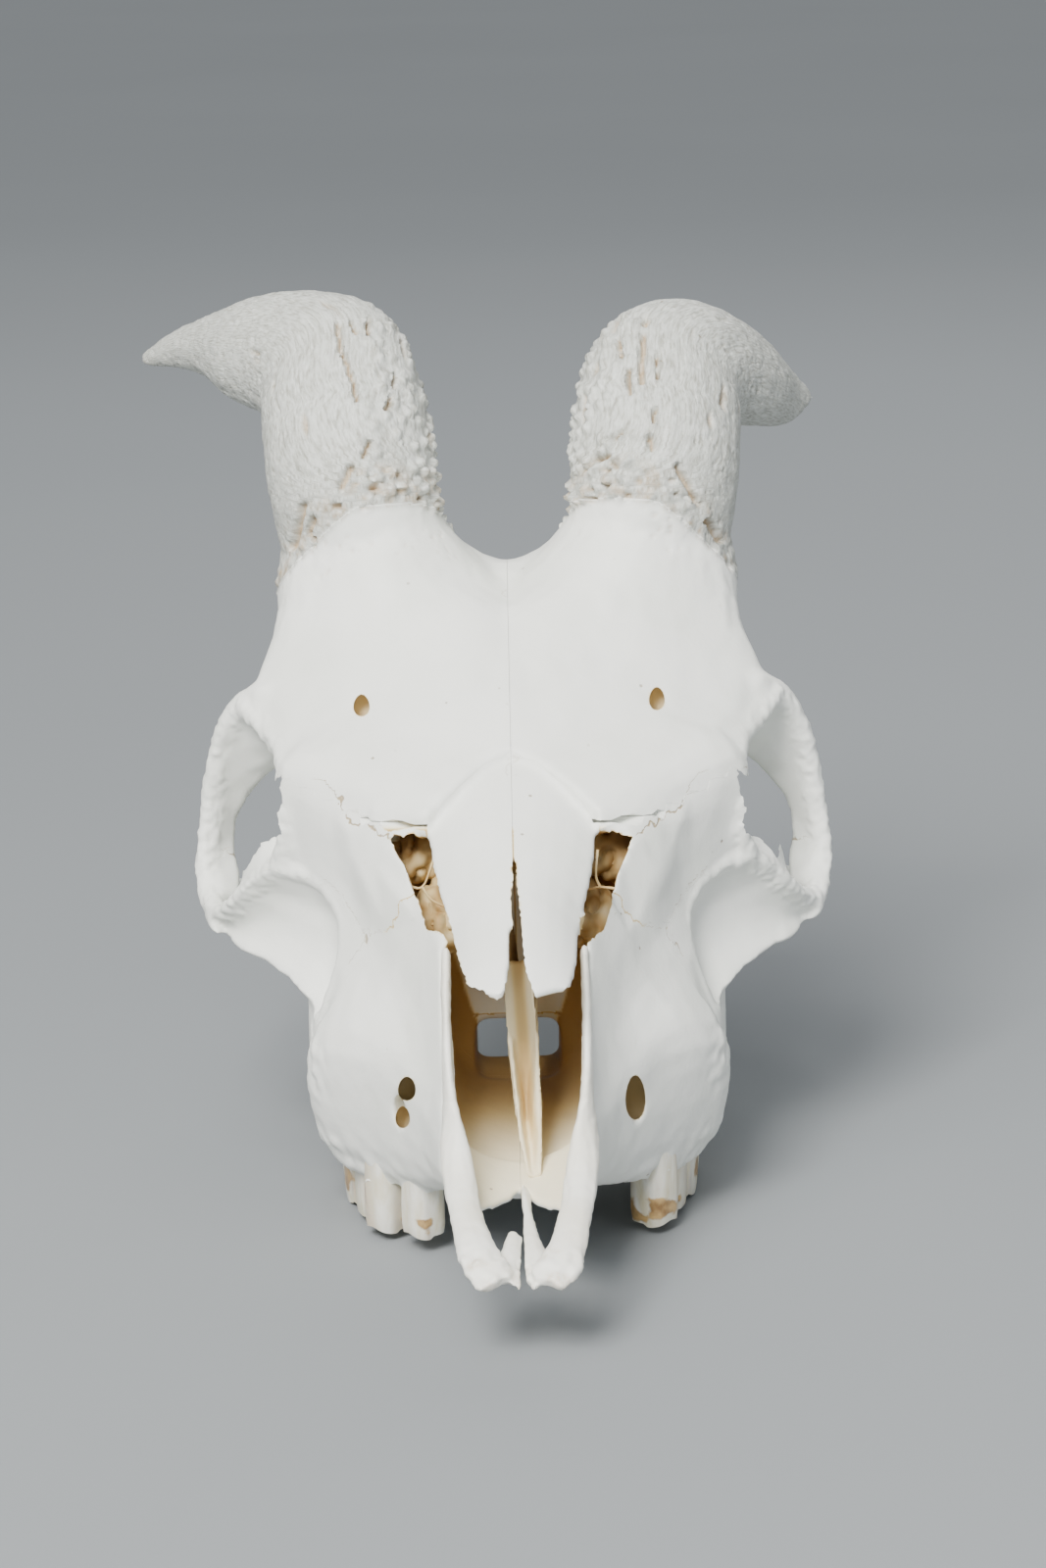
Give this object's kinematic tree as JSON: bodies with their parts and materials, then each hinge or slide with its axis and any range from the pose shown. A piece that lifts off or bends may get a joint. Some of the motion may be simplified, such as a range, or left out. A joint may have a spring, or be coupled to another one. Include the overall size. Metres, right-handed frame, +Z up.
{
  "type": "goat skull",
  "caption": "Bare skull of a horned goat without its lower jaw, resting on its molars, with bony horn cores, open eye sockets and an open nose.",
  "frame": {"origin": "on the floor below the middle of the skull's box", "axes": "+Z up, -Y towards the snout, +X towards the skull's own left side, which is the viewer's right from in front"},
  "size_m": [0.1462, 0.2076, 0.1754],
  "materials": {
    "bone": "cleaned dry bone, nearly white, matt with a faint sheen",
    "jaw_bone_and_teeth": "bleached bone, with glossier ivory enamel and brown tartar on the teeth",
    "nasal_bone": "thin bleached bone, smooth",
    "horn_core": "greyer porous bone with grooves, pits and ochre stains",
    "inner_bone": "thin cream to ochre bone inside the nose"
  },
  "bodies": {
    "root": {"frontal_left": "bone", "frontal_right": "bone", "horn_core_left": "horn_core", "horn_core_right": "horn_core", "lacrimal_left": "bone", "lacrimal_right": "bone", "maxilla_left": "jaw_bone_and_teeth", "maxilla_right": "jaw_bone_and_teeth", "nasal_left": "nasal_bone", "nasal_right": "nasal_bone", "palatine_left": "bone", "palatine_right": "bone", "premaxilla_left": "nasal_bone", "premaxilla_right": "nasal_bone", "temporal_left": "bone", "temporal_right": "bone", "zygomatic_left": "bone", "zygomatic_right": "bone", "occipital": "bone", "parietal": "bone", "sphenoid": "bone", "vomer": "inner_bone"}
  },
  "joints": []
}
